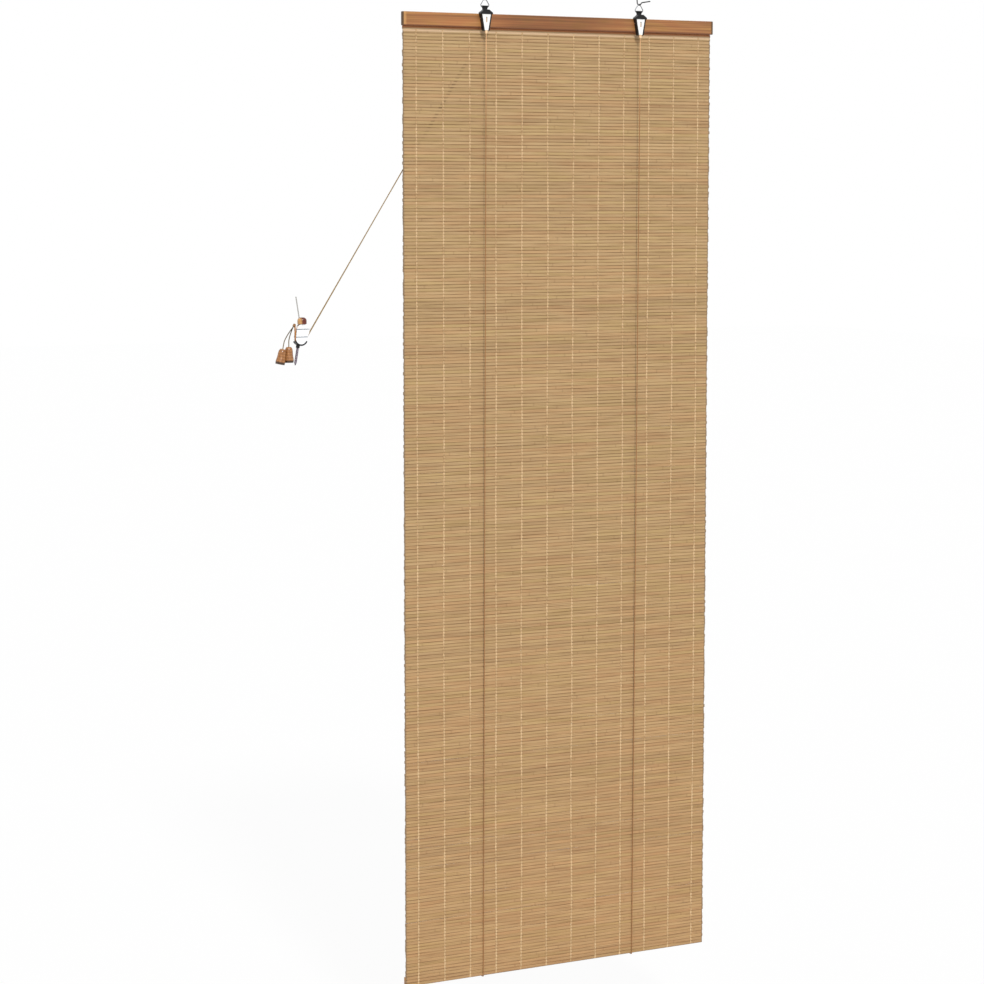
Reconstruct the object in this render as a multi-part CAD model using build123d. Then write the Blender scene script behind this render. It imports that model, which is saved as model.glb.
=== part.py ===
from build123d import *
import math
import os

# Bamboo roll up blind, let down, with its cords tied off on a cleat at the left.
# Millimetres. X runs along the width to the right, Y away from the room, Z up.
# The origin lies between the two hook shanks, on the ceiling plane. Pieces are drawn with the
# mat's middle plane at Y zero, and all are moved back together so that the hooks stand there.

# Blind as a whole
mat_width = 800.0
blind_height = 2200.0
hanger_share = 0.25
hanger_places = (-hanger_share * mat_width, hanger_share * mat_width)
side_names = ("left", "right")

# Hooks and bails, from the ceiling down
hook_wire = 2.6
hook_drop = 34.5
hook_turn = -60.0
hook_collar_radius = 4.5
hook_collar_height = 2.0
shank_radius = 2.0
shank_length = 18.0
shank_point = 5.0
shank_point_radius = 0.3
hook_points = [(0.0, -1.0), (0.0, -12.0), (-5.4, -20.0), (-4.6, -30.0)]
hook_points += [(0.3, -38.7), (6.6, -29.0), (29.0, -27.0)]
hook_bends = (7.0, 6.0, 6.0, 4.5, 6.0)
bail_wire = 1.8
bail_height = 17.5
bail_points = ((-9.4, 0.0), (9.4, 0.0), (10.2, 4.2), (0.0, 20.1), (-10.2, 4.2))
bail_bends = (1.3, 1.3, 2.6, 3.0, 2.6)
seat_gap = 0.3
hinge_z = -hook_drop + (hook_wire + bail_wire) / 2 + seat_gap - bail_height

# Headrail battens
head_rise = 16.0
rail_top = hinge_z - head_rise
rail_height = 30.5
rail_bottom = rail_top - rail_height
rail_overhang = 3.0
rail_length = mat_width + 2 * rail_overhang
front_batten = 9.0
rail_edge_round = 1.5
rail_end_round = 4.0
back_batten = 7.0
back_batten_inset = 8.0
back_batten_length = mat_width - 2 * back_batten_inset
back_edge_round = 1.0
fit = 0.02

# Mat of slats
slat_pitch = 7.4
mat_top_drop = 2.0
slat_count = int((blind_height - mat_top_drop) / slat_pitch)
slat_groove = 1.6
mat_thickness = 2.2
groove_depth = 0.7
mat_half = mat_thickness / 2
mat_bottom = rail_top - blind_height
slit_height = 0.9
slit_first_row = 6
slit_row_step = 10
slit_bays = 13
slit_bay_step = 7
warp_count = 12
warp_width = 2.6
warp_depth = 0.5
warp_pitch = mat_width / warp_count
slit_length = warp_pitch - 3 * warp_width
rail_face = mat_half + front_batten
rail_back = mat_half + back_batten

# Bottom batten
bottom_batten_height = 22.0
bottom_batten_depth = 7.0
bottom_batten_round = 1.5

# Headrail screws
rail_screw_shares = (-0.45, -0.1125, 0.1125, 0.45)
rail_screw_places = [share * mat_width for share in rail_screw_shares]
rail_screw_z = rail_top - rail_height / 2
rail_screw_radius = 1.5
rail_screw_reach = 6.5
rail_screw_head_radius = 3.2
rail_screw_head = 1.8

# Hanger frame
plate_wall = 1.5
hinge_out = rail_face + plate_wall / 2
flange_depth = 9.4
plate_top = rail_top + 1.0
plate_tip = rail_top - 38.0
plate_top_half = 14.0
plate_tip_half = 7.4
plate_tip_round = 2.0
hood_top = rail_top + 9.0
hood_eave_top = rail_top + 2.2
hood_eave = rail_top - 1.2
hood_neck_half = 6.2
hood_eave_half = 15.4
hood_depth = 11.4
hood_wall = 1.2
hood_edge_round = 0.6
head_half = 7.6
neck_z = hood_top + 2.4
barrel_radius = 2.2
running_gap = 0.08

# Pulley and its pin
cord_radius = 1.0
cord_gap = 0.3
pulley_groove = 3.0
pulley_radius = 4.5
pulley_half_width = 2.0
pulley_side_gap = 0.5
pulley_out = rail_face + 3.3
cord_turn = pulley_groove + cord_gap + cord_radius
hole_z = rail_top - 6.5
pulley_z = hole_z - cord_turn
pin_radius = 1.0
pin_proud = 0.4
window_half = 3.4
window_low = pulley_z - 6.0
window_high = pulley_z + 6.4
mortise_depth = 1.9
cord_hole_radius = 1.8

# White housing in front of the pulley
housing_top = rail_top + 0.8
housing_low = rail_top - 37.0
housing_top_half = 11.4
housing_tip_half = 4.6
housing_depth = 10.0
housing_wall = 0.9
housing_round = 1.6
channel_half = 1.6
bay_top = hole_z + cord_radius + 1.2
bay_low = pulley_z - pulley_radius - 1.0
slot_half = 1.5
slot_low = pulley_z - 7.0
slot_high = pulley_z + 2.6
bead_radius = 3.0
bead_height = 7.6
bead_round = 2.2
bead_spigot_radius = 1.55
bead_spigot = 3.0
bead_bore = 1.32

# Screws behind the housing, as places across and below the rail's top
hanger_screw_places = ((-6.2, -7.5), (6.2, -7.5), (0.0, -22.0))
hanger_screw_radius = 1.5
hanger_screw_head = 2.5
hanger_screw_reach = 7.0

# Grommets and eyes on the headrail's back
grommet_flange_radius = 4.5
grommet_flange = 1.0
grommet_sleeve_radius = 2.9
grommet_sleeve = 6.0
eye_ring = 4.5
eye_wire = 1.0
eye_reach = 5.0
eye_z = rail_top - 24.1
eye_x = hanger_places[0] + 15.2
tie_shift = 30.0
tie_ring = 2.4
tie_wire = 0.8
tie_z = rail_top - 24.0
tie_out = rail_back + tie_ring + tie_wire + 0.2
tie_knot_radius = 2.3
tie_knot_height = 4.4

# Cord lanes behind the headrail, and the turn under the bottom edge
lanes = (12.8, 15.2)
lane_step = lanes[1] - lanes[0]
foot_clear = 0.4
foot_front = mat_half + foot_clear + cord_radius
foot_back = mat_half + bottom_batten_depth + foot_clear + cord_radius
foot_z = mat_bottom - foot_clear - cord_radius
foot_bend = 2.2
grommet_bend = 3.6
eye_bend = 3.4
eye_passes = [(hanger_places[0] + 14.0, rail_top - 24.0), (hanger_places[0] + 18.4, rail_top - 21.6)]
eye_tail = 9.0

# Cleat, as places in X and Z
cleat_x = -mat_width / 2 - 242.8
cleat_z = rail_top - 713.1
cleat_out = lanes[0] + 1.5 * lane_step
cleat_thickness = 14.0
cleat_low_radius = 12.5
cleat_top_radius = 15.0
cleat_top_rise = 17.6
cleat_top_shift = 4.6
cleat_groove = 10.0
cleat_groove_depth = 3.0
cleat_edge_round = 1.0
cleat_line_rises = (20.8, 3.8)
cleat_line_width = 1.0
cleat_line_depth = 0.7
cleat_seat_rise = 32.0
wrap_gap = 0.1
wrap_low = cleat_low_radius - cleat_groove_depth + wrap_gap + cord_radius
wrap_top = cleat_top_radius - cleat_groove_depth + wrap_gap + cord_radius
wrap_radius_share = 0.97
top_shift_share = 0.75
bead_top_radius = 10.2
bead_top_height = 14.4
bead_top_round = 7.6
cleat_pin_radius = 1.3
cleat_pin_length = 46.0
cleat_pin_depth = 4.0
cleat_pin_lean = -9.0
cleat_pin_shift = -2.4
yoke_wall = 3.2
yoke_width = 13.0
yoke_half_angle = 66.0
yoke_boss_radius = 4.2
yoke_boss = 4.6
cleat_shank_radius = 2.8
cleat_shank_length = 33.0
cleat_shank_point = 6.0
cleat_shank_tip_radius = 0.4
cleat_shank_lean = 9.6
cleat_shank_shift = -2.9
knot_x = cleat_x - 12.9
knot_z = cleat_z + 29.1
knot_radius = 3.4
knot_height = 7.6
knot_way = 1.5

# Knobs on the cord ends: where each knob's top lies in X and Z, and how far above it the tail bends
knob_tops = ((cleat_x - 41.3, cleat_z - 21.9), (cleat_x - 25.8, cleat_z - 17.9))
knob_leans = (12.0, 0.0)
tail_rises = (26.0, 21.0)
tail_bend_share = 0.45
knob_height = 34.0
knob_neck_radius = 5.2
knob_shoulder_radius = 7.4
knob_shoulder_share = 0.1
knob_waist_radius = 9.0
knob_waist_share = 0.5
knob_belly_radius = 10.6
knob_belly_share = 0.86
knob_rim_radius = 10.0
knob_bore = 1.3
knob_hollow_radius = 5.2
knob_hollow_depth = 8.0
knob_knot_radius = 3.0
knob_knot_height = 5.4


def block(x_low, x_high, y_low, y_high, z_low, z_high):
    """A box between six planes."""
    centre = Pos((x_low + x_high) / 2, (y_low + y_high) / 2, (z_low + z_high) / 2)
    return centre * Box(x_high - x_low, y_high - y_low, z_high - z_low)


def rod(start, end, radius):
    """A round bar from one point to another."""
    run = Vector(*end) - Vector(*start)
    base = (Align.CENTER, Align.CENTER, Align.MIN)
    return Plane(origin=start, z_dir=run) * Cylinder(radius, run.length, align=base)


def spike(start, end, start_radius, end_radius):
    """A cone from one point to another."""
    run = Vector(*end) - Vector(*start)
    base = (Align.CENTER, Align.CENTER, Align.MIN)
    return Plane(origin=start, z_dir=run) * Cone(start_radius, end_radius, run.length, align=base)


def prism(outline, out, depth):
    """An outline in X and Z, pushed towards the room from the plane that lies out from the mat."""
    return extrude(Plane.XZ.offset(out) * Polygon(*outline, align=None), amount=depth)


def mirrored(half_outline):
    """A closed outline from its right half, listed from the bottom up."""
    return list(half_outline) + [(-x, z) for x, z in reversed(half_outline)]


def wire(path, radius):
    """A round wire along a path."""
    return sweep(Plane(origin=path @ 0, z_dir=path % 0) * Circle(radius), path)


def cord(name, points, bends):
    """A plain cord along its route, whose volume is compared with section times length."""
    path = FilletPolyline(*points, radius=bends)
    solid = wire(path, cord_radius)
    share = solid.volume / (math.pi * cord_radius**2 * path.length)
    radii = [round(bend, 1) for bend in bends]
    print(name, "length", round(path.length, 1), "bends", radii, "volume", round(share, 4))
    return solid


def screw_holes_in_front_batten():
    """Blind holes of the clamping screws, and those of the hanger screws."""
    holes = []
    for x in rail_screw_places:
        bottom = (x, -mat_half - rail_screw_reach, rail_screw_z)
        holes.append(rod((x, 0, rail_screw_z), bottom, rail_screw_radius + fit))
    for hanger in hanger_places:
        for across, below in hanger_screw_places:
            start = (hanger + across, -rail_face, rail_top + below)
            end = (hanger + across, -rail_face + hanger_screw_reach, rail_top + below)
            holes.append(rod(start, end, hanger_screw_radius + fit))
    return holes


def headrail_front():
    half = rail_length / 2
    batten = block(-half, half, -rail_face, -mat_half, rail_bottom, rail_top)
    batten = fillet(batten.edges().filter_by(Axis.Z).group_by(Axis.Y)[0], rail_end_round)
    batten = fillet(batten.faces().sort_by(Axis.Y)[0].edges(), rail_edge_round)
    cuts = screw_holes_in_front_batten()
    for x in hanger_places:
        low, high = x - window_half, x + window_half
        cuts.append(block(low, high, -rail_face, -rail_face + mortise_depth, window_low, window_high))
        cuts.append(rod((x, -rail_face, hole_z), (x, 0, hole_z), cord_hole_radius))
    return batten - cuts


def headrail_back():
    half = back_batten_length / 2
    batten = block(-half, half, mat_half, rail_back, rail_bottom, rail_top)
    batten = fillet(batten.faces().sort_by(Axis.Y)[-1].edges(), back_edge_round)
    cuts = []
    for x in rail_screw_places:
        cuts.append(rod((x, 0, rail_screw_z), (x, rail_back, rail_screw_z), rail_screw_radius + fit))
    for x in hanger_places:
        cuts.append(rod((x, 0, hole_z), (x, rail_back, hole_z), cord_hole_radius))
        sleeve_start = (x, rail_back - grommet_sleeve, hole_z)
        cuts.append(rod(sleeve_start, (x, rail_back, hole_z), grommet_sleeve_radius + fit))
        tie_x = x + tie_shift
        cuts.append(rod((tie_x, rail_back - eye_reach, tie_z), (tie_x, rail_back, tie_z), tie_wire + fit))
    cuts.append(rod((eye_x, rail_back - eye_reach, eye_z), (eye_x, rail_back, eye_z), eye_wire + fit))
    return batten - cuts


def headrail_screws():
    screws = []
    for x in rail_screw_places:
        bottom = (x, -mat_half - rail_screw_reach, rail_screw_z)
        shank = rod(bottom, (x, rail_back, rail_screw_z), rail_screw_radius)
        head_end = (x, rail_back + rail_screw_head, rail_screw_z)
        screws.append(shank + rod((x, rail_back, rail_screw_z), head_end, rail_screw_head_radius))
    return Compound(screws)


def slat_mat():
    """Slats side by side as one wall: a flat crest for each slat, with a groove between neighbours."""
    front = []
    for slat in range(slat_count):
        low = mat_bottom + slat * slat_pitch
        front.append((-mat_half, low + slat_groove / 2))
        front.append((-mat_half, low + slat_pitch - slat_groove / 2))
        front.append((-mat_half + groove_depth, low + slat_pitch))
    front.pop()
    section = Polygon(*front, *[(-y, z) for y, z in reversed(front)], align=None)
    mat = extrude(Plane.YZ * section, amount=mat_width / 2, both=True)
    cuts = []
    rows = range(slit_first_row, slat_count - slit_first_row, slit_row_step)
    for turn, row in enumerate(rows):
        z = mat_bottom + row * slat_pitch
        for skip in range(2):
            bay = (turn * slit_bay_step + skip * (slit_bays // 2)) % (slit_bays - 2) + 1
            x = -mat_width / 2 + bay * warp_pitch
            low, high = x - slit_length / 2, x + slit_length / 2
            cuts.append(block(low, high, -mat_half, mat_half, z - slit_height / 2, z + slit_height / 2))
    for x in hanger_places:
        cuts.append(rod((x, -mat_half, hole_z), (x, mat_half, hole_z), cord_hole_radius))
    for x in rail_screw_places:
        cuts.append(rod((x, -mat_half, rail_screw_z), (x, mat_half, rail_screw_z), rail_screw_radius + fit))
    return mat - cuts


def warp_threads():
    """Flat runs of thread on both faces of the mat, half a pitch in from each edge."""
    runs = []
    for warp in range(warp_count):
        x = -mat_width / 2 + (warp + 1 / 2) * warp_pitch
        low, high = x - warp_width / 2, x + warp_width / 2
        runs.append(block(low, high, -mat_half - warp_depth, -mat_half, mat_bottom, rail_bottom))
        back_low = mat_bottom + bottom_batten_height
        runs.append(block(low, high, mat_half, mat_half + warp_depth, back_low, rail_bottom))
    return Compound(runs)


def bottom_batten():
    half = mat_width / 2
    top = mat_bottom + bottom_batten_height
    batten = block(-half, half, mat_half, mat_half + bottom_batten_depth, mat_bottom, top)
    return fillet(batten.faces().sort_by(Axis.Y)[-1].edges(), bottom_batten_round)


def frame_half(z):
    """Half the hanger's outer width, which tapers evenly from the hood to the tip."""
    slope = (plate_top_half - plate_tip_half) / (plate_top - plate_tip)
    return plate_tip_half + (z - plate_tip) * slope


def housing_half(z):
    """Half the white housing's width, which tapers more than the frame round it."""
    slope = (housing_top_half - housing_tip_half) / (housing_top - housing_low)
    return housing_tip_half + (z - housing_low) * slope


def hanger_frame():
    """Pressed steel: back plate with side flanges, hood, and an upright neck with a rolled head."""
    outer = mirrored(((plate_tip_half, plate_tip), (plate_top_half, plate_top)))
    channel = prism(outer, rail_face, flange_depth)
    channel = fillet(channel.edges().filter_by(Axis.Y).group_by(Axis.Z)[0], plate_tip_round)
    low, high = plate_tip - plate_wall, plate_top + plate_wall
    inner = mirrored(((housing_half(low) + fit, low), (housing_half(high) + fit, high)))
    channel = channel - prism(inner, rail_face + plate_wall, flange_depth)

    roof = ((hood_eave_half, hood_eave), (hood_eave_half, hood_eave_top), (hood_neck_half, hood_top))
    hood = prism(mirrored(roof), rail_face, hood_depth)
    front_edges = hood.faces().sort_by(Axis.Y)[0].edges()
    hood = fillet(front_edges, hood_edge_round)
    inner_half = hood_eave_half - hood_wall
    attic = (
        (inner_half, hood_eave - hood_wall),
        (inner_half, hood_eave_top - hood_wall / 2),
        (hood_neck_half - hood_wall / 2, hood_top - hood_wall),
    )
    hood = hood - prism(mirrored(attic), rail_face + plate_wall, hood_depth - plate_wall - hood_wall)

    flare = ((hood_neck_half, hood_top - hood_wall), (hood_neck_half, neck_z), (head_half, hinge_z))
    neck = prism(mirrored(flare), rail_face, plate_wall)
    reach = hood_eave_half
    barrel = rod((-head_half, -hinge_out, hinge_z), (head_half, -hinge_out, hinge_z), barrel_radius)
    bore = rod((-reach, -hinge_out, hinge_z), (reach, -hinge_out, hinge_z), bail_wire / 2 + running_gap)

    plate_front = -rail_face - plate_wall
    cuts = [bore]
    cuts.append(block(-window_half, window_half, plate_front, -rail_face, window_low, window_high))
    cuts.append(rod((-reach, -pulley_out, pulley_z), (reach, -pulley_out, pulley_z), pin_radius + fit))
    for across, below in hanger_screw_places:
        front = (across, plate_front, rail_top + below)
        back = (across, -rail_face, rail_top + below)
        cuts.append(spike(front, back, hanger_screw_head, hanger_screw_radius))
    return channel + hood + neck + barrel - cuts


def pulley_housing():
    """White moulding between the flanges: a bay for the pulley, a slot before it and a channel below."""
    back = rail_face + plate_wall
    outline = mirrored(((housing_tip_half, housing_low), (housing_top_half, housing_top)))
    body = prism(outline, back, housing_depth - plate_wall)
    body = fillet(body.faces().sort_by(Axis.Y)[0].edges(), housing_round)
    front = -rail_face - housing_depth + housing_wall
    bay_half = pulley_half_width + pulley_side_gap
    bay = block(-bay_half, bay_half, front, -back, bay_low, bay_top)
    channel = block(-channel_half, channel_half, front, -back, housing_low, bay_low)
    reach = hood_eave_half
    pin_way = rod((-reach, -pulley_out, pulley_z), (reach, -pulley_out, pulley_z), pin_radius + fit)
    face = front - 2 * housing_wall
    slot = block(-slot_half, slot_half, face, front, slot_low, slot_high)
    slot_ends = [rod((0, face, z), (0, front, z), slot_half) for z in (slot_low, slot_high)]
    return body - [bay, channel, pin_way, slot, *slot_ends]


def pulley():
    start = (-pulley_half_width, -pulley_out, pulley_z)
    end = (pulley_half_width, -pulley_out, pulley_z)
    groove = Pos(0, -pulley_out, pulley_z) * Rot(0, 90, 0) * Torus(cord_turn, cord_turn - pulley_groove)
    return rod(start, end, pulley_radius) - [rod(start, end, pin_radius + running_gap), groove]


def pulley_pin():
    half = frame_half(pulley_z) + pin_proud
    return rod((-half, -pulley_out, pulley_z), (half, -pulley_out, pulley_z), pin_radius)


def hanger_screws():
    screws = []
    for hanger in hanger_places:
        for across, below in hanger_screw_places:
            x, z = hanger + across, rail_top + below
            neck = (x, -rail_face, z)
            head = spike((x, -rail_face - plate_wall, z), neck, hanger_screw_head, hanger_screw_radius)
            screws.append(head + rod(neck, (x, -rail_face + hanger_screw_reach, z), hanger_screw_radius))
    return Compound(screws)


def front_run_out(z):
    """How far out from the mat the taut front run of a lift cord lies at a height."""
    top_out = pulley_out + cord_turn
    share = (z - foot_z) / (hole_z - foot_z)
    return foot_front + (top_out - foot_front) * share


def tip_bead():
    out = front_run_out(housing_low - bead_height / 2)
    body = rod((0, -out, housing_low - bead_height), (0, -out, housing_low), bead_radius)
    body = fillet(body.edges().group_by(Axis.Z)[0], bead_round)
    spigot = rod((0, -out, housing_low), (0, -out, housing_low + bead_spigot), bead_spigot_radius)
    bore_start = (0, -out, housing_low - bead_height)
    return body + spigot - rod(bore_start, (0, -out, housing_low + bead_spigot), bead_bore)


def bail():
    """One closed wire loop, its straight side in the hanger's rolled head."""
    corners = [(x, -hinge_out, hinge_z + z) for x, z in bail_points]
    return wire(FilletPolyline(*corners, radius=bail_bends, close=True), bail_wire / 2)


def ceiling_hook():
    """Open screw hook with a collar, bent in one plane, then turned about its shank."""
    path = FilletPolyline(*[(u, 0, z) for u, z in hook_points], radius=hook_bends)
    bend = wire(path, hook_wire / 2)
    collar = rod((0, 0, -hook_collar_height), (0, 0, 0), hook_collar_radius)
    shank = rod((0, 0, 0), (0, 0, shank_length), shank_radius)
    tip = (0, 0, shank_length + shank_point)
    point = spike((0, 0, shank_length), tip, shank_radius, shank_point_radius)
    return Pos(0, -hinge_out, 0) * Rot(0, 0, hook_turn) * (bend + collar + shank + point)


def rear_grommet():
    flange = rod((0, rail_back, hole_z), (0, rail_back + grommet_flange, hole_z), grommet_flange_radius)
    sleeve = rod((0, rail_back - grommet_sleeve, hole_z), (0, rail_back, hole_z), grommet_sleeve_radius)
    way = rod((0, 0, hole_z), (0, rail_back + grommet_flange, hole_z), cord_hole_radius)
    return flange + sleeve - way


def screw_eye(x, z, ring, wire_radius, out):
    """A ring that lies level, on a shank screwed into the back batten."""
    loop = Pos(x, out, z) * Torus(ring, wire_radius)
    shank = rod((x, rail_back - eye_reach, z), (x, out - ring, z), wire_radius)
    return loop + shank


def knot(x, y, z, radius, height):
    """A tied lump of cord with rounded ends, lying round the cord's line."""
    lump = Pos(x, y, z) * Cylinder(radius, height)
    return fillet(lump.edges(), radius / 2)


def lift_route(side):
    """From the tie eye down the back, under the edge, up the front, over the pulley, to the cord eye."""
    x = hanger_places[side]
    lane = lanes[side]
    eye_end = along_pull(side, eye_tail)
    points = (
        (x + tie_shift, tie_out, tie_z + tie_wire - fit),
        (x, foot_back, foot_z),
        (x, -foot_front, foot_z),
        (x, -pulley_out - cord_turn, hole_z),
        (x, lane, hole_z),
        (eye_passes[side][0], lane, eye_passes[side][1]),
        eye_end,
    )
    return points, (foot_bend, foot_bend, cord_turn, grommet_bend, eye_bend)


def cleat_corner(rise, radius, first, second):
    """Where two tangents of one of the cleat's rounds meet, from the tangents' headings in degrees."""
    middle = math.radians((first + second) / 2 + 90)
    reach = radius / math.cos(math.radians((first - second) / 2))
    x = cleat_x + cleat_top_shift * rise / cleat_top_rise
    return x + reach * math.cos(middle), cleat_z + rise + reach * math.sin(middle)


def pull_heading(side):
    """Heading of a taut pull cord in X and Z, tangent to the low round of the cleat."""
    across, down = cleat_x - eye_passes[side][0], cleat_z - eye_passes[side][1]
    lean = math.degrees(math.asin(wrap_low / math.hypot(across, down)))
    return math.degrees(math.atan2(down, across)) + lean


def along_pull(side, distance):
    """A point on a taut pull cord, as far from the cord eye as stated."""
    heading = math.radians(pull_heading(side))
    x, z = eye_passes[side]
    return x + distance * math.cos(heading), lanes[side], z + distance * math.sin(heading)


def pull_route(side):
    """From the cord eye to the cleat, once round its groove and on to the knot at its left."""
    lane = lanes[side]
    next_lane = lane + 2 * lane_step
    half_way = lane + top_shift_share * 2 * lane_step
    incoming = pull_heading(side)
    axis_lean = math.degrees(math.atan2(cleat_top_shift, cleat_top_rise))
    side_lean = math.degrees(math.asin((wrap_low - wrap_top) / math.hypot(cleat_top_shift, cleat_top_rise)))
    left_up = 90 - axis_lean - side_lean - 360
    right_down = -90 - axis_lean + side_lean - 360
    end_x, end_z = knot_x + knot_way, knot_z - knot_way
    across, up = end_x - cleat_x, end_z - cleat_z
    leave_lean = math.degrees(math.asin(wrap_low / math.hypot(across, up)))
    to_knot = math.degrees(math.atan2(up, across)) - leave_lean - 720
    first = cleat_corner(0, wrap_low, incoming, (incoming + left_up) / 2)
    second = cleat_corner(0, wrap_low, (incoming + left_up) / 2, left_up)
    top_left = cleat_corner(cleat_top_rise, wrap_top, left_up, (left_up + right_down) / 2)
    top_right = cleat_corner(cleat_top_rise, wrap_top, (left_up + right_down) / 2, right_down)
    third = cleat_corner(0, wrap_low, right_down, (right_down + to_knot) / 2)
    fourth = cleat_corner(0, wrap_low, (right_down + to_knot) / 2, to_knot)
    laps = [(first, lane), (second, lane), (top_left, lane), (top_right, half_way)]
    laps += [(third, next_lane), (fourth, next_lane)]
    points = [along_pull(side, eye_tail)]
    for corner, y in laps:
        points.append((corner[0], y, corner[1]))
    points.append((end_x, next_lane, end_z))
    bends = [wrap_radius_share * r for r in (wrap_low, wrap_low, wrap_top, wrap_top, wrap_low, wrap_low)]
    return points, bends


def cleat_outline(inset):
    """Leaning egg shape round the cleat's low round and its larger top round."""
    low = Pos(cleat_x, cleat_z) * Circle(cleat_low_radius - inset)
    top = Pos(cleat_x + cleat_top_shift, cleat_z + cleat_top_rise) * Circle(cleat_top_radius - inset)
    return make_hull(low.edges() + top.edges())


def cleat_body():
    """White moulding with a wide groove round its edge for the cords and two lines across its face."""
    front = Plane.XZ.offset(-cleat_out - cleat_thickness / 2)
    body = extrude(front * cleat_outline(0), amount=cleat_thickness)
    seat = cleat_z + cleat_seat_rise
    body = fillet(body.edges().filter_by(GeomType.LINE, reverse=True), cleat_edge_round)
    groove_plane = Plane.XZ.offset(-cleat_out - cleat_groove / 2)
    ring = extrude(groove_plane * cleat_outline(-cleat_edge_round), amount=cleat_groove)
    ring = ring - extrude(groove_plane * cleat_outline(cleat_groove_depth), amount=cleat_groove)
    wide = 2 * cleat_top_radius
    face = cleat_out - cleat_thickness / 2
    left, right = cleat_x - wide, cleat_x + wide
    cuts = [ring]
    cuts.append(block(left, right, face, face + cleat_thickness, seat, seat + wide))
    for rise in cleat_line_rises:
        z = cleat_z + rise
        half = cleat_line_width / 2
        cuts.append(block(left, right, face, face + cleat_line_depth, z - half, z + half))
    return body - cuts


def pin_bar(radius):
    """A leaning bar through the bead's top, left of its middle."""
    lean = math.radians(cleat_pin_lean)
    x, top = cleat_x + cleat_pin_shift, cleat_z + cleat_seat_rise + bead_top_height
    step_x, step_z = math.sin(lean), math.cos(lean)
    low = (x - cleat_pin_depth * step_x, cleat_out, top - cleat_pin_depth * step_z)
    high = (x + cleat_pin_length * step_x, cleat_out, top + cleat_pin_length * step_z)
    return rod(low, high, radius)


def cleat_bead():
    """Turned bead on the cleat's flat top, with a hole for the pin."""
    x, low = cleat_x + cleat_top_shift, cleat_z + cleat_seat_rise
    bead = rod((x, cleat_out, low), (x, cleat_out, low + bead_top_height), bead_top_radius)
    bead = fillet(bead.edges().group_by(Axis.Z)[-1], bead_top_round)
    return bead - pin_bar(cleat_pin_radius + fit)


def cleat_shank_line(distance):
    """A point on the leaning screw shank, measured down from the yoke's boss."""
    lean = math.radians(cleat_shank_lean)
    reach = cleat_low_radius + yoke_wall + yoke_boss + distance
    x = cleat_x + cleat_shank_shift - reach * math.sin(lean)
    return x, cleat_out, cleat_z - reach * math.cos(lean)


def polar(radius, angle):
    return radius * math.cos(math.radians(angle)), radius * math.sin(math.radians(angle))


def cleat_yoke():
    """Black steel strap under the cleat's low round, with a boss that carries the screw shank."""
    plane = Plane.XZ.offset(-cleat_out - yoke_width / 2)
    start = -90 - yoke_half_angle
    outer = cleat_low_radius + yoke_wall
    left, right = polar(2 * outer, start), polar(2 * outer, start + 2 * yoke_half_angle)
    sector = Pos(cleat_x, cleat_z) * make_face(Polyline((0, 0), left, (0, -4 * outer), right, close=True))
    band = Pos(cleat_x, cleat_z) * (Circle(outer) - Circle(cleat_low_radius + fit))
    strap = extrude(plane * (band & sector), amount=yoke_width)
    boss = rod(cleat_shank_line(-yoke_boss - yoke_wall / 2), cleat_shank_line(0), yoke_boss_radius)
    return strap + boss


def cleat_shank():
    end = cleat_shank_line(cleat_shank_length)
    tip = cleat_shank_line(cleat_shank_length + cleat_shank_point)
    shank = rod(cleat_shank_line(0), end, cleat_shank_radius)
    return shank + spike(end, tip, cleat_shank_radius, cleat_shank_tip_radius)


def knob_place(side):
    """A knob's own axes: its top at the origin, leaning in the plane of the mat."""
    x, z = knob_tops[side]
    return Pos(x, lanes[side] + 2 * lane_step, z) * Rot(0, knob_leans[side], 0)


def cord_knob(side):
    """Turned bell-shaped knob, hollow below for the knot."""
    shoulder = -knob_shoulder_share * knob_height
    waist = -knob_waist_share * knob_height
    belly = -knob_belly_share * knob_height
    outline = Polyline((knob_bore, 0), (knob_neck_radius, 0))
    outline += Spline(
        (knob_neck_radius, 0),
        (knob_shoulder_radius, shoulder),
        (knob_waist_radius, waist),
        (knob_belly_radius, belly),
        (knob_rim_radius, -knob_height),
    )
    outline += Polyline(
        (knob_rim_radius, -knob_height),
        (knob_hollow_radius, -knob_height),
        (knob_hollow_radius, -knob_height + knob_hollow_depth),
        (knob_bore, -knob_height + knob_hollow_depth),
        (knob_bore, 0),
    )
    return knob_place(side) * revolve(Plane.XZ * make_face(outline), Axis.Z)


def knob_knots():
    knots = []
    for side in range(len(side_names)):
        z = -knob_height + knob_hollow_depth - knob_knot_height / 2
        knots.append(knob_place(side) * knot(0, 0, z, knob_knot_radius, knob_knot_height))
    return Compound(knots)


def widest_bend(before, corner, after):
    """The largest arc that two neighbouring runs of a slack cord leave room for."""
    first = Vector(*corner) - Vector(*before)
    second = Vector(*after) - Vector(*corner)
    half_turn = math.radians(first.get_angle(second) / 2)
    return tail_bend_share * min(first.length, second.length) / math.tan(half_turn)


def tail_route(side):
    """From the knot beside the cleat to a bend above the knob, then through its bore."""
    lane = lanes[side] + 2 * lane_step
    bend = knob_place(side) * Pos(0, 0, tail_rises[side])
    end = knob_place(side) * Pos(0, 0, -knob_height + knob_hollow_depth)
    points = [(knot_x - knot_way, lane, knot_z - knot_way), tuple(bend.position), tuple(end.position)]
    return points, [widest_bend(*points)]


def tie_knots():
    z = tie_z + tie_wire + tie_knot_height / 2
    return Compound(
        [knot(x + tie_shift, tie_out, z, tie_knot_radius, tie_knot_height) for x in hanger_places]
    )


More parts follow.
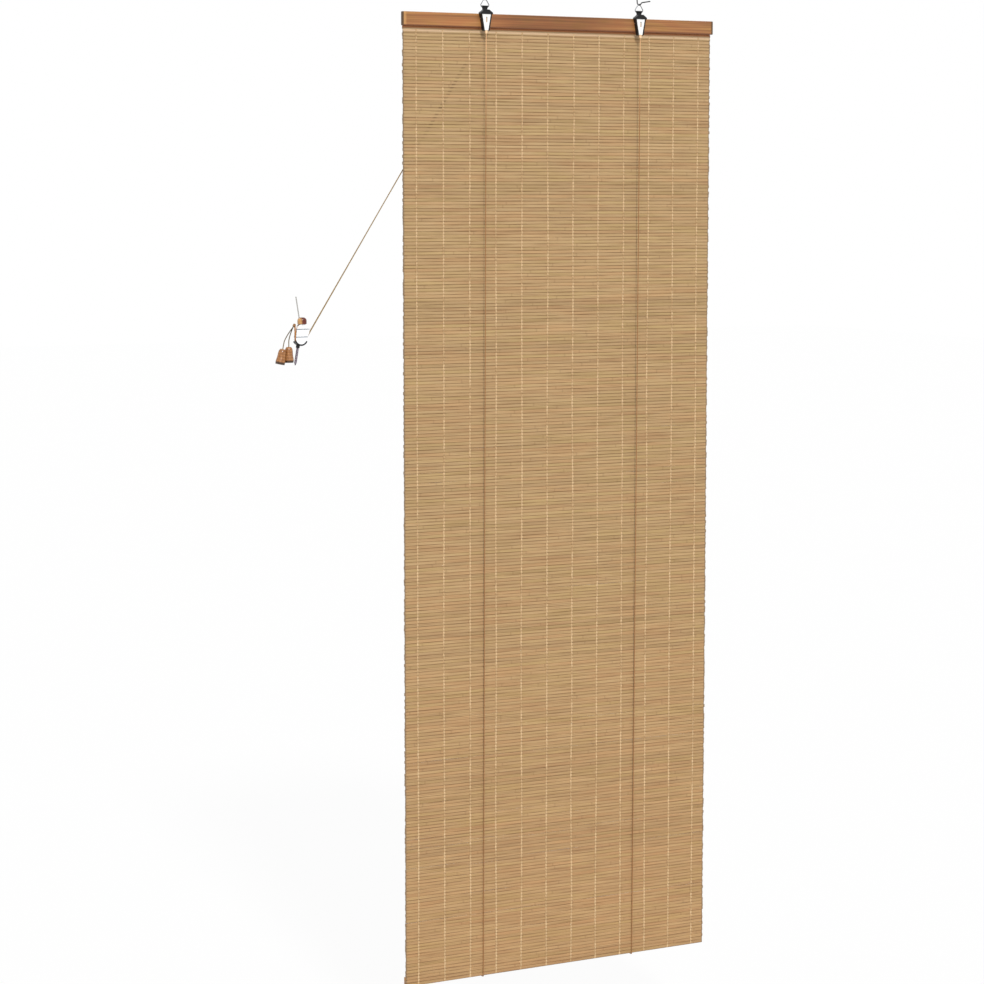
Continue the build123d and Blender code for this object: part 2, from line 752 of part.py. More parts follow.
nodes = {
    "headrail_front": headrail_front(),
    "headrail_back": headrail_back(),
    "headrail_screws": headrail_screws(),
    "slat_mat": slat_mat(),
    "warp_threads": warp_threads(),
    "bottom_batten": bottom_batten(),
    "hanger_screws": hanger_screws(),
    "cord_eye": screw_eye(eye_x, eye_z, eye_ring, eye_wire, lanes[0] + lane_step / 2),
    "tie_eyes": Compound(
        [screw_eye(x + tie_shift, tie_z, tie_ring, tie_wire, tie_out) for x in hanger_places]
    ),
    "tie_knots": tie_knots(),
    "cleat_knot": knot(knot_x, cleat_out + lane_step, knot_z, knot_radius, knot_height),
    "knob_knots": knob_knots(),
    "cleat_body": cleat_body(),
    "cleat_bead": cleat_bead(),
    "cleat_pin": pin_bar(cleat_pin_radius),
    "cleat_yoke": cleat_yoke(),
    "cleat_shank": cleat_shank(),
}
hanger_pieces = {
    "hanger_frame": hanger_frame(),
    "pulley_housing": pulley_housing(),
    "pulley": pulley(),
    "pulley_pin": pulley_pin(),
    "tip_bead": tip_bead(),
    "bail": bail(),
    "ceiling_hook": ceiling_hook(),
    "rear_grommet": rear_grommet(),
}
for side, (side_name, hanger) in enumerate(zip(side_names, hanger_places)):
    for piece, solid in hanger_pieces.items():
        nodes[f"{piece}_{side_name}"] = Pos(hanger, 0, 0) * solid
    nodes[f"lift_cord_{side_name}"] = cord(f"lift_cord_{side_name}", *lift_route(side))
    nodes[f"pull_cord_{side_name}"] = cord(f"pull_cord_{side_name}", *pull_route(side))
    nodes[f"cord_tail_{side_name}"] = cord(f"cord_tail_{side_name}", *tail_route(side))
    nodes[f"cord_knob_{side_name}"] = cord_knob(side)

os.makedirs("parts", exist_ok=True)
for name, solid in nodes.items():
    export_step(Pos(0, hinge_out, 0) * solid, f"parts/{name}.step")
    print(name, round(solid.volume, 1), solid.is_valid)
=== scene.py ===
import bpy
import math
import random
from mathutils import Matrix, Vector


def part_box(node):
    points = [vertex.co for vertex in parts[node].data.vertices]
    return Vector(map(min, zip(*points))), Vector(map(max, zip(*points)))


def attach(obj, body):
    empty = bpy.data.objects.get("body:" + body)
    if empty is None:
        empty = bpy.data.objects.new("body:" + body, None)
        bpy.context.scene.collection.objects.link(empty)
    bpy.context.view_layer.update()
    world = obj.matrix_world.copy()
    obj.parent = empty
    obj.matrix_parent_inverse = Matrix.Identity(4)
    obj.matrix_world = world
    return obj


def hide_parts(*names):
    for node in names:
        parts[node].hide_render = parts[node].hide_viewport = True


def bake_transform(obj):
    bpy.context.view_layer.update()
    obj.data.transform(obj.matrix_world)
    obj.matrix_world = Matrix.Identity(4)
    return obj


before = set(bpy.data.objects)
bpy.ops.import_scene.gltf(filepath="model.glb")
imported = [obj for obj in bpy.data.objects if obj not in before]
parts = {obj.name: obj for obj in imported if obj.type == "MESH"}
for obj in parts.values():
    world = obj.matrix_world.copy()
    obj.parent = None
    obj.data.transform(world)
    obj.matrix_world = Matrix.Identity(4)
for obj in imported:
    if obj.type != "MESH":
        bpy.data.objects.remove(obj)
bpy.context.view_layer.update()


# Ceiling hooks: two open screw hooks of bent steel rod with a pressed-on collar, stove-enamelled black.
# Their threaded shanks go up into the ceiling, and each open bend carries one hanger's bail.
hook_thread_pitch, hook_thread_start = 0.0016, 0.0008
noise_low, noise_high = 0.3, 0.7


def seen(red, green, blue):
    """A colour as it is seen, turned into the shader's linear values."""
    tones = [c / 255 for c in (red, green, blue)]
    return [c / 12.92 if c <= 0.04045 else ((c + 0.055) / 1.055) ** 2.4 for c in tones] + [1.0]


def new_finish(name, roughness, metallic=0.0):
    """A new material, its shader, and the call that links its nodes."""
    material = bpy.data.materials.new(name)
    material.use_nodes = True
    shader = material.node_tree.nodes["Principled BSDF"]
    shader.inputs["Roughness"].default_value = roughness
    shader.inputs["Metallic"].default_value = metallic
    return material, shader, material.node_tree.links.new


def grain(material, scale, detail=4.0, place=None):
    """Noise on the piece's own coordinates or on those given, finer where the scale is larger."""
    nodes, links = material.node_tree.nodes, material.node_tree.links
    if place is None:
        place = nodes.new("ShaderNodeTexCoord").outputs["Object"]
    mapping = nodes.new("ShaderNodeMapping")
    mapping.inputs["Scale"].default_value = scale
    noise = nodes.new("ShaderNodeTexNoise")
    noise.inputs["Scale"].default_value = 1.0
    noise.inputs["Detail"].default_value = detail
    links.new(place, mapping.inputs["Vector"])
    links.new(mapping.outputs["Vector"], noise.inputs["Vector"])
    return noise.outputs["Fac"]


def along(material, axis, turn=(0, 0, 0)):
    """One of the piece's own coordinates, turned to follow a leaning piece."""
    nodes, links = material.node_tree.nodes, material.node_tree.links
    place = nodes.new("ShaderNodeTexCoord")
    mapping = nodes.new("ShaderNodeMapping")
    mapping.inputs["Rotation"].default_value = turn
    split = nodes.new("ShaderNodeSeparateXYZ")
    links.new(place.outputs["Object"], mapping.inputs["Vector"])
    links.new(mapping.outputs["Vector"], split.inputs["Vector"])
    return split.outputs[axis]


def ramp(material, value, *stops):
    """Colours spread over a value."""
    node = material.node_tree.nodes.new("ShaderNodeValToRGB")
    elements = node.color_ramp.elements
    elements[0].position, elements[0].color = stops[0]
    elements[1].position, elements[1].color = stops[-1]
    for position, colour in stops[1:-1]:
        elements.new(position).color = colour
    material.node_tree.links.new(value, node.inputs["Fac"])
    return node.outputs["Color"]


def shades(material, noise, dark, light):
    """Two colours as they are seen, over the range where noise mostly lies."""
    return ramp(material, noise, (noise_low, seen(*dark)), (noise_high, seen(*light)))


def spread(material, value, low, high, least=noise_low, most=noise_high):
    """A value stretched from one range, or the one where noise mostly lies, to another."""
    node = material.node_tree.nodes.new("ShaderNodeMapRange")
    node.inputs["From Min"].default_value = least
    node.inputs["From Max"].default_value = most
    node.inputs["To Min"].default_value = low
    node.inputs["To Max"].default_value = high
    material.node_tree.links.new(value, node.inputs["Value"])
    return node.outputs["Result"]


def sum_of(material, operation, first, second=0):
    """Values or numbers put together by one step of arithmetic."""
    node = material.node_tree.nodes.new("ShaderNodeMath")
    node.operation = operation
    for socket, value in zip(node.inputs, (first, second)):
        if isinstance(value, (int, float)):
            socket.default_value = value
        else:
            material.node_tree.links.new(value, socket)
    return node.outputs["Value"]


def product(material, first, second):
    """Two values, or a value and a number, multiplied."""
    return sum_of(material, "MULTIPLY", first, second)


def ripple(material, value, pitch):
    """A wave that comes back at every pitch."""
    return sum_of(material, "SINE", product(material, value, 2 * math.pi / pitch))


def relief(material, shader, value, strength, distance):
    """Bumps that follow a value."""
    node = material.node_tree.nodes.new("ShaderNodeBump")
    node.inputs["Strength"].default_value = strength
    node.inputs["Distance"].default_value = distance
    material.node_tree.links.new(value, node.inputs["Height"])
    material.node_tree.links.new(node.outputs["Normal"], shader.inputs["Normal"])


def coat(material, *names):
    """Gives CAD nodes a finish."""
    for name in names:
        for slot in parts[name].material_slots:
            slot.material = material


hook_enamel, shader, link = new_finish("hook_enamel", 0.38)
shader.inputs["Specular IOR Level"].default_value = 0.3
speck, wear = grain(hook_enamel, (900, 900, 900)), grain(hook_enamel, (140, 140, 140))
link(shades(hook_enamel, speck, (9, 9, 10), (22, 22, 24)), shader.inputs["Base Color"])
link(spread(hook_enamel, wear, 0.28, 0.5), shader.inputs["Roughness"])
rise = along(hook_enamel, "Z")
in_ceiling = sum_of(hook_enamel, "GREATER_THAN", rise, hook_thread_start)
thread = product(hook_enamel, ripple(hook_enamel, rise, hook_thread_pitch), in_ceiling)
relief(hook_enamel, shader, thread, 0.9, 0.0004)
coat(hook_enamel, "ceiling_hook_left", "ceiling_hook_right")


# Bails: closed loops of drawn bright wire, threaded through the hangers' rolled heads.
# They hang on the hooks and take the weight of the blind.
def even_finish(name, roughness, metallic, scale, detail, dark, light, low, high):
    """One finish all over, with fine noise in its colour and roughness: gives material, shader and noise."""
    material, shader, link = new_finish(name, roughness, metallic)
    noise = grain(material, scale, detail)
    link(shades(material, noise, dark, light), shader.inputs["Base Color"])
    link(spread(material, noise, low, high), shader.inputs["Roughness"])
    return material, shader, noise


bail_steel, shader, drawn = even_finish(
    "bail_steel", 0.35, 1.0, (600, 600, 90), 4.0, (84, 85, 88), (136, 137, 140), 0.24, 0.46
)
relief(bail_steel, shader, drawn, 0.15, 0.0001)
coat(bail_steel, "bail_left", "bail_right")


# Headrail: two planed battens with the mat's top edge clamped between them, stained red-brown and waxed.
# The ends are cross-cut and rounded over, with darker stain there; the front batten's lower edge has painted
# shade.
rail_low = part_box("headrail_front")[0].z
toned_half, cloud_drift = 0.4, 0.08
left_end_highlight_strip, left_cut, right_cut = (-0.3965, -0.3930), (-0.4012, -0.3998), (0.3962, 0.3976)
shaded_edge_band = (rail_low + 0.0020, rail_low + 0.0030)
below_rail = rail_low - 0.02


def mixed(material, mode, factor, first, second):
    """Two colours put together."""
    node = material.node_tree.nodes.new("ShaderNodeMix")
    node.data_type = "RGBA"
    node.blend_type = mode
    for socket, value in ((node.inputs[0], factor), (node.inputs[6], first), (node.inputs[7], second)):
        if isinstance(value, (int, float, list, tuple)):
            socket.default_value = value
        else:
            material.node_tree.links.new(value, socket)
    return node.outputs[2]


stained, shader, link = new_finish("stained_wood", 0.42)
fibre = grain(stained, (3.2, 170, 240), 6.0)
flame = grain(stained, (6.5, 30, 45), 2.0)
cloud = grain(stained, (3.3, 3, 3), 1.0)
tinge = grain(stained, (16, 30, 55), 1.0)
run, level = along(stained, "X"), along(stained, "Z")
board = ramp(stained, fibre, (0.28, seen(120, 79, 47)), (0.5, seen(163, 114, 70)), (0.74, seen(190, 142, 90)))
board = mixed(stained, "OVERLAY", 0.2, board, shades(stained, flame, (140, 100, 80), (200, 190, 160)))
place = sum_of(stained, "ADD", run, spread(stained, cloud, -cloud_drift, cloud_drift))
tones = ramp(
    stained, spread(stained, place, 0.0, 1.0, -toned_half, toned_half),
    (0.0, seen(255, 253, 245)), (0.28, seen(252, 248, 240)), (0.42, seen(214, 203, 190)),
    (0.62, seen(209, 198, 184)), (0.76, seen(243, 241, 234)), (1.0, seen(247, 245, 238)),
)
board = mixed(stained, "MULTIPLY", 1.0, board, tones)
tints = ramp(
    stained, tinge,
    (0.36, seen(255, 226, 218)), (0.5, seen(255, 250, 245)), (0.64, seen(240, 246, 200)),
)
board = mixed(stained, "MULTIPLY", 0.4, board, tints)
# Painted highlight: a lighter strip by the left end, where the rounded edge faces the key light.
left_end_highlight = spread(stained, run, 0.55, 0.0, *left_end_highlight_strip)
board = mixed(stained, "MIX", left_end_highlight, board, seen(200, 152, 92))
# Painted shade: the front batten's lower edge is darkened, but not the bottom batten far below the rail.
painted_edge_shade = spread(stained, level, 0.9, 0.0, *shaded_edge_band)
painted_edge_shade = product(stained, painted_edge_shade, sum_of(stained, "GREATER_THAN", level, below_rail))
board = mixed(stained, "MIX", painted_edge_shade, board, seen(112, 66, 36))
left_end = spread(stained, run, 1.0, 0.0, *left_cut)
right_end = spread(stained, run, 0.0, 1.0, *right_cut)
board = mixed(stained, "MIX", sum_of(stained, "MAXIMUM", left_end, right_end), board, seen(84, 58, 28))
link(board, shader.inputs["Base Color"])
link(spread(stained, fibre, 0.34, 0.52), shader.inputs["Roughness"])
relief(stained, shader, fibre, 0.25, 0.0003)
coat(stained, "headrail_front", "headrail_back")


# Headrail screws: round-headed bright steel screws through the back batten and the mat into the front batten.
# Four of them clamp the mat's top edge.
screw_steel, *_ = even_finish(
    "screw_steel", 0.32, 1.0, (700, 700, 700), 4.0, (150, 148, 142), (205, 203, 198), 0.22, 0.45
)
coat(screw_steel, "headrail_screws")


# Mat: slats split from bamboo, about 7 mm high, laid edge to edge with the skin towards the room.
# No two are alike: they bow a little, their ends are cut by hand, and nodes show as darker marks.
# Dark dots of painted shade show where the pull cords behind the gaps between the slats keep the light from
# coming through.
slat_pitch, slat_count, slat_length = 0.0074, 297, 0.800
start_radius, slat_cuts = 0.0036, 7
crest_half, edge_half, half_depth = 0.0024, 0.0037, 0.0011
held_low, held_high = 3, 6
fullest, proudest, tilt_spread = 1.04, 0.00018, 0.03
sway_count, sway_sizes, sway_rates = 3, (0.00001, 0.00005), (5, 26)
cut_reach, cut_range = 0.001, (-0.0016, 0.0004)
mat_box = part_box("slat_mat")
mat_low = mat_box[0].z
mat_plane = (mat_box[0].y + mat_box[1].y) / 2


def cut_along(piece, axis, length, cuts):
    """Cuts the long edges that run along one axis, and no others."""
    bpy.context.tool_settings.mesh_select_mode = (False, True, False)
    for polygon in piece.data.polygons:
        polygon.select = False
    for edge in piece.data.edges:
        first, second = (piece.data.vertices[i].co[axis] for i in edge.vertices)
        edge.select = abs(first - second) > length / 2
    bpy.ops.object.mode_set(mode="EDIT")
    bpy.ops.mesh.subdivide(number_cuts=cuts)
    bpy.ops.object.mode_set(mode="OBJECT")


def repeated(piece, count, step):
    """Copies of a piece, each one step further, made one mesh with it."""
    row = piece.modifiers.new("copies", "ARRAY")
    row.count = count
    row.use_relative_offset = False
    row.use_constant_offset = True
    row.constant_offset_displace = step
    bpy.ops.object.modifier_apply(modifier=row.name)


def drawn_waves(chance, count, sizes, rates):
    """A few waves, each with its own size, rate and start."""
    return [(chance.uniform(*sizes), chance.uniform(*rates), chance.uniform(0, 6.3)) for turn in range(count)]


def sway_at(waves, place):
    """How far the waves together lead aside at a place."""
    return sum(size * math.sin(rate * place + start) for size, rate, start in waves)


bpy.ops.object.select_all(action="DESELECT")
bpy.ops.mesh.primitive_cylinder_add(
    vertices=6, radius=start_radius, depth=slat_length, rotation=(0, math.pi / 2, 0)
)
mat = bpy.context.object
mat.name = "bamboo_mat"
bpy.ops.object.transform_apply(location=True, rotation=True, scale=True)
mat.data.transform(Matrix.Rotation(math.radians(30), 4, "X"))
cut_along(mat, 0, slat_length, slat_cuts)
bpy.ops.object.shade_flat()
points_each = len(mat.data.vertices)
for vertex in mat.data.vertices:
    outer = abs(vertex.co.z) > 0.8 * start_radius
    vertex.co.z = math.copysign(edge_half if outer else crest_half, vertex.co.z)
    vertex.co.y = 0.0 if outer else math.copysign(half_depth, vertex.co.y)
repeated(mat, slat_count, (0, 0, slat_pitch))

chance = random.Random(7)
marks = mat.data.attributes.new("slat", "FLOAT_COLOR", "POINT")
tint = [0.0] * (4 * len(mat.data.vertices))
for slat in range(slat_count):
    clamped = slat < held_low or slat > slat_count - held_high
    height = 1.0 if clamped else chance.uniform(1.0, fullest)
    proud = 0.0 if clamped else chance.uniform(-proudest, proudest)
    tilt = 0.0 if clamped else chance.gauss(0, tilt_spread)
    low_end, high_end = chance.uniform(*cut_range), chance.uniform(*cut_range)
    waves = drawn_waves(chance, sway_count, sway_sizes, sway_rates)
    tone, shift = chance.random(), chance.random()
    centre = mat_low + (slat + 0.5) * slat_pitch
    for index in range(slat * points_each, (slat + 1) * points_each):
        co = mat.data.vertices[index].co
        across = co.z - slat * slat_pitch
        x = co.x
        co.z = centre + across * height + (0.0 if clamped else sway_at(waves, x))
        co.y = mat_plane + co.y + proud + across * tilt
        if x > slat_length / 2 - cut_reach:
            co.x = x + high_end
        if x < cut_reach - slat_length / 2:
            co.x = x - low_end
        tint[4 * index : 4 * index + 4] = (tone, shift, 0.5 + across / (2 * edge_half), 1.0)
marks.data.foreach_set("color", tint)
mat.data.update()

bamboo, shader, link = new_finish("split_bamboo", 0.5)
nodes = bamboo.node_tree.nodes
mark = nodes.new("ShaderNodeAttribute")
mark.attribute_name = "slat"
slat_of = nodes.new("ShaderNodeSeparateColor")
link(mark.outputs["Color"], slat_of.inputs["Color"])
slat_tone, slat_shift, slat_across = (slat_of.outputs[name] for name in ("Red", "Green", "Blue"))
run, level = along(bamboo, "X"), along(bamboo, "Z")

# The noise starts afresh on each slat.
most_shift = 60
offset = nodes.new("ShaderNodeCombineXYZ")
link(product(bamboo, slat_shift, most_shift), offset.inputs["X"])
own = nodes.new("ShaderNodeVectorMath")
own.operation = "ADD"
link(nodes.new("ShaderNodeTexCoord").outputs["Object"], own.inputs[0])
link(offset.outputs["Vector"], own.inputs[1])
own_place = own.outputs["Vector"]
fibres = grain(bamboo, (7, 300, 900), 5.0, own_place)
patches = grain(bamboo, (10, 20, 60), 2.0, own_place)
blush = grain(bamboo, (5, 12, 14), 1.0, own_place)
streaks = grain(bamboo, (15, 3, 130), 2.0, own_place)
breaks = grain(bamboo, (40, 3, 90), 1.0, own_place)

# The skin's own colours.
white = seen(255, 255, 255)
skin = ramp(
    bamboo, fibres,
    (0.28, seen(152, 119, 78)), (0.48, seen(181, 148, 104)), (0.75, seen(199, 167, 122)),
)
clouded = ramp(bamboo, patches, (0.3, seen(212, 202, 190)), (0.6, white))
skin = mixed(bamboo, "MULTIPLY", 0.3, skin, clouded)
flushed = ramp(bamboo, blush, (0.36, seen(255, 232, 218)), (0.5, white), (0.66, seen(244, 250, 215)))
skin = mixed(bamboo, "MULTIPLY", 0.34, skin, flushed)
toned = ramp(
    bamboo, slat_tone,
    (0.0, seen(205, 200, 195)), (0.35, seen(245, 243, 240)), (1.0, seen(255, 255, 252)),
)
skin = mixed(bamboo, "MULTIPLY", 0.3, skin, toned)

# Painted shade: dark runs along the slats' edges, in the grooves between the slats.
from_middle = sum_of(bamboo, "ABSOLUTE", sum_of(bamboo, "SUBTRACT", slat_across, 0.5))
slat_edge = spread(bamboo, from_middle, 0.0, 1.0, 0.36, 0.5)
groove_shade_run = spread(bamboo, streaks, 0.0, 1.0, 0.41, 0.57)
skin = mixed(bamboo, "MIX", product(bamboo, slat_edge, groove_shade_run), skin, seen(110, 77, 42))

# Painted shade where the pull cords behind the gaps keep the light from coming through: a slanting line,
# broken up and faded at both ends.
across_x, across_z, cord_place = 0.8405, -0.5418, -0.1090
dots_low, dots_high = (-0.350, -0.290), (-0.190, -0.165)
aslant = sum_of(bamboo, "ADD", product(bamboo, run, across_x), product(bamboo, level, across_z))
aside = sum_of(bamboo, "ABSOLUTE", sum_of(bamboo, "SUBTRACT", aslant, cord_place))
painted_cord_shade = spread(bamboo, aside, 1.0, 0.0, 0.0028, 0.0048)
painted_cord_shade = product(bamboo, painted_cord_shade, spread(bamboo, breaks, 0.2, 1.0, 0.36, 0.54))
painted_cord_shade = product(bamboo, painted_cord_shade, spread(bamboo, level, 0.2, 1.0, *dots_low))
painted_cord_shade = product(bamboo, painted_cord_shade, spread(bamboo, level, 1.0, 0.2, *dots_high))
gap = spread(bamboo, from_middle, 0.0, 0.6, 0.20, 0.36)
skin = mixed(bamboo, "MIX", product(bamboo, gap, painted_cord_shade), skin, seen(92, 64, 34))

# Nodes of the cane, cut ends, painted shade under the headrail, a painted highlight on the edge below it, and
# a tint that is warmer towards the bottom.
nodes_per_metre = 2.3
ends_from = (0.3950, 0.3985)
rail_shade_from = (rail_low - 0.0052, rail_low - 0.0036)
highlight_from, highlight_to = (rail_low - 0.0125, rail_low - 0.0105), rail_low - 0.0062
cane = product(bamboo, sum_of(bamboo, "ADD", run, slat_shift), nodes_per_metre)
joint = spread(bamboo, sum_of(bamboo, "FRACT", cane), 0.35, 0.0, 0.0, 0.011)
skin = mixed(bamboo, "MIX", joint, skin, seen(118, 82, 46))
cut = spread(bamboo, sum_of(bamboo, "ABSOLUTE", run), 0.0, 0.8, *ends_from)
skin = mixed(bamboo, "MIX", cut, skin, seen(122, 102, 80))
# Painted shade: a reddish-brown band on the slats just under the headrail.
painted_rail_shade = spread(bamboo, level, 0.0, 0.85, *rail_shade_from)
skin = mixed(bamboo, "MIX", painted_rail_shade, skin, seen(188, 116, 68))
# Painted highlight: a light line on the slat edge just below the shaded band.
painted_edge_highlight = spread(bamboo, level, 0.0, 0.5, *highlight_from)
painted_edge_highlight = product(bamboo, painted_edge_highlight, sum_of(bamboo, "LESS_THAN", level, highlight_to))
skin = mixed(bamboo, "MIX", painted_edge_highlight, skin, seen(232, 200, 164))
# Warmer and a little darker towards the bottom.
height_tint = ramp(
    bamboo, spread(bamboo, level, 0.0, 1.0, mat_low, rail_low),
    (0.0, seen(245, 238, 231)), (0.5, seen(246, 247, 247)), (1.0, seen(250, 252, 255)),
)
skin = mixed(bamboo, "MULTIPLY", 1.0, skin, height_tint)
link(skin, shader.inputs["Base Color"])
link(spread(bamboo, fibres, 0.62, 0.42), shader.inputs["Roughness"])
relief(bamboo, shader, fibres, 0.3, 0.0003)
mat.data.materials.append(bamboo)
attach(mat, "blind")
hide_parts("slat_mat")


# Warp threads: pairs of cream cotton threads twined round every slat, half a pitch in from each edge.
# Seen from the room, each slat shows one short slanting stitch over its skin.
warp_count, last_stitched = 12, 292
warp_pitch = slat_length / warp_count
stitch_width, stitch_depth, stitch_length = 0.0040, 0.0006, 0.0080
stitch_cuts, end_width, slant = 2, 0.6, 0.12
second_shift, second_width = 0.0004, 0.9
wander_count, wander_sizes, wander_rates = 2, (0.0003, 0.0008), (3, 14)


def stitch_rows(name, face, first_slat, last_slat):
    """Stitches on one face of the mat: a slanting pair modelled once, repeated up the mat and across it."""
    bpy.ops.object.select_all(action="DESELECT")
    bpy.ops.mesh.primitive_cube_add(size=1)
    stitch = bpy.context.object
    stitch.scale = (stitch_width, stitch_depth, stitch_length)
    bpy.ops.object.transform_apply(location=True, rotation=True, scale=True)
    cut_along(stitch, 2, stitch_length, stitch_cuts)
    bpy.ops.object.shade_smooth()
    for vertex in stitch.data.vertices:
        if abs(vertex.co.z) > stitch_length * 0.4:
            vertex.co.y += half_depth
            vertex.co.x *= end_width
        vertex.co.x += slant * vertex.co.z
    second = stitch.data.copy()
    for vertex in second.vertices:
        vertex.co.x = second_shift + second_width * vertex.co.x
        vertex.co.z += slat_pitch
    pair = bpy.data.objects.new(name + "_pair", second)
    bpy.context.scene.collection.objects.link(pair)
    pair.select_set(True)
    bpy.ops.object.join()
    repeated(stitch, (last_slat - first_slat) // 2, (0, 0, 2 * slat_pitch))
    repeated(stitch, warp_count, (warp_pitch, 0, 0))
    start_x = -slat_length / 2 + warp_pitch / 2
    start_z = mat_low + (first_slat + 0.5) * slat_pitch
    out = half_depth + stitch_depth / 2
    luck = random.Random(11)
    columns = {}
    for vertex in stitch.data.vertices:
        column = round(vertex.co.x / warp_pitch)
        if column not in columns:
            columns[column] = drawn_waves(luck, wander_count, wander_sizes, wander_rates)
        x, y, z = vertex.co
        wander = sway_at(columns[column], z)
        vertex.co = (start_x + x + wander, mat_plane + face * (out - y), start_z + z)
    if face > 0:
        bpy.ops.object.mode_set(mode="EDIT")
        bpy.ops.mesh.select_all(action="SELECT")
        bpy.ops.mesh.normals_make_consistent(inside=False)
        bpy.ops.object.mode_set(mode="OBJECT")
    stitch.name = name
    return stitch


front_warps = stitch_rows("warp_stitches_front", -1, 0, last_stitched)
back_warps = stitch_rows("warp_stitches_back", 1, held_low, last_stitched)
cotton, shader, link = new_finish("cotton_thread", 0.85)
twist = grain(cotton, (900, 300, 1600), 3.0)
fade = grain(cotton, (30, 30, 45), 2.0)
faded = ramp(cotton, fade, (0.35, seen(215, 205, 190)), (0.6, white))
yarn = mixed(cotton, "MULTIPLY", 0.8, shades(cotton, twist, (186, 152, 111), (223, 193, 150)), faded)
link(yarn, shader.inputs["Base Color"])
relief(cotton, shader, twist, 0.4, 0.0002)
for stitches in (front_warps, back_warps):
    stitches.data.materials.append(cotton)
    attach(stitches, "blind")
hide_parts("warp_threads")


# Bottom batten: a planed strip of the headrail's wood, glued behind the lowest slats.
# It keeps the bottom edge straight and gives the lift cords something to turn under.
coat(stained, "bottom_batten")


# Hangers: pressed steel frames with a hood and a rolled head, enamelled black like the hooks.
# Each is screwed to the front batten and carries a white housing with a grooved pulley of pale nylon.
# A beige bead guides the lift cord at the housing's tip.
coat(hook_enamel, "hanger_frame_left", "hanger_frame_right")
coat(screw_steel, "hanger_screws", "pulley_pin_left", "pulley_pin_right")

white_nylon, shader, _ = even_finish(
    "white_nylon", 0.45, 0.0, (260, 260, 260), 5.0, (232, 232, 228), (247, 247, 243), 0.36, 0.55
)
relief(white_nylon, shader, grain(white_nylon, (1800, 1800, 1800)), 0.12, 0.0002)
coat(white_nylon, "pulley_housing_left", "pulley_housing_right")

pale_nylon, *_ = even_finish(
    "pale_nylon", 0.4, 0.0, (420, 420, 420), 5.0, (150, 148, 142), (182, 180, 173), 0.3, 0.5
)
coat(pale_nylon, "pulley_left", "pulley_right")

beige_nylon, *_ = even_finish(
    "beige_nylon", 0.4, 0.0, (500, 500, 500), 5.0, (232, 190, 145), (248, 214, 174), 0.3, 0.5
)
coat(beige_nylon, "tip_bead_left", "tip_bead_right")


# Grommets and screw eyes: plain brass, pressed or screwed into the back batten.
# They lead the cords out of the headrail and hold the lift cords' fixed ends.
brass, *_ = even_finish(
    "plain_brass", 0.35, 1.0, (320, 320, 320), 5.0, (158, 118, 58), (214, 176, 104), 0.5, 0.25
)
coat(brass, "rear_grommet_left", "rear_grommet_right", "cord_eye", "tie_eyes")


# Lift cords: twisted tan cord, tied to an eye behind the headrail, down the back, round the bottom edge,
# up the front, over the pulley and out to the cord eye. The blind's weight keeps them taut.
cord_radius, cord_sides, least_step = 0.0011, 10, 0.0004
strands, crests_per_metre = 3, 300


def cord_line(name, route):
    """The points of a smooth spline whose control points are the route's."""
    curve = bpy.data.curves.new(name + "_line", "CURVE")
    curve.dimensions = "3D"
    curve.resolution_u = 16
    spline = curve.splines.new("NURBS")
    spline.points.add(len(route) - 1)
    for point, spot in zip(spline.points, route):
        point.co = (*spot, 1.0)
    spline.order_u = 3
    spline.use_endpoint_u = True
    holder = bpy.data.objects.new(name + "_line", curve)
    bpy.context.scene.collection.objects.link(holder)
    trace = bpy.data.meshes.new_from_object(holder)
    line = [vertex.co.copy() for vertex in trace.vertices]
    bpy.data.objects.remove(holder)
    bpy.data.curves.remove(curve)
    bpy.data.meshes.remove(trace)
    kept = [line[0]]
    for spot in line[1:]:
        if (spot - kept[-1]).length > least_step:
            kept.append(spot)
    return kept


def laid_cord(name, line, finish):
    """A round cord along a line, with its turns and its length as its UV map."""
    sides = cord_sides
    mesh = bpy.data.meshes.new(name)
    points, faces, uvs = [], [], []
    heading = (line[1] - line[0]).normalized()
    across = heading.orthogonal().normalized()
    run = 0.0
    runs = []
    for index, spot in enumerate(line):
        before, after = line[max(index - 1, 0)], line[min(index + 1, len(line) - 1)]
        new_heading = (after - before).normalized()
        across = heading.rotation_difference(new_heading) @ across
        heading = new_heading
        across = (across - across.dot(heading) * heading).normalized()
        upward = heading.cross(across)
        if index:
            run += (spot - line[index - 1]).length
        runs.append(run)
        for side in range(sides):
            angle = 2 * math.pi * side / sides
            points.append(spot + cord_radius * (math.cos(angle) * across + math.sin(angle) * upward))
    for index in range(len(line) - 1):
        for side in range(sides):
            low, high = index * sides, (index + 1) * sides
            beside = (side + 1) % sides
            faces.append((low + side, low + beside, high + beside, high + side))
            left, right = side / sides, (side + 1) / sides
            start, end = runs[index], runs[index + 1]
            uvs += [(left, start), (right, start), (right, end), (left, end)]
    faces.append(tuple(range(sides - 1, -1, -1)))
    faces.append(tuple(range(len(points) - sides, len(points))))
    uvs += [(side / sides, 0.0) for side in range(sides)] + [(side / sides, run) for side in range(sides)]
    mesh.from_pydata(points, [], faces)
    layer = mesh.uv_layers.new(name="UVMap")
    for loop, uv in zip(layer.data, uvs):
        loop.uv = uv
    mesh.polygons.foreach_set("use_smooth", [True] * len(mesh.polygons))
    mesh.materials.append(finish)
    piece = bpy.data.objects.new(name, mesh)
    bpy.context.scene.collection.objects.link(piece)
    return piece


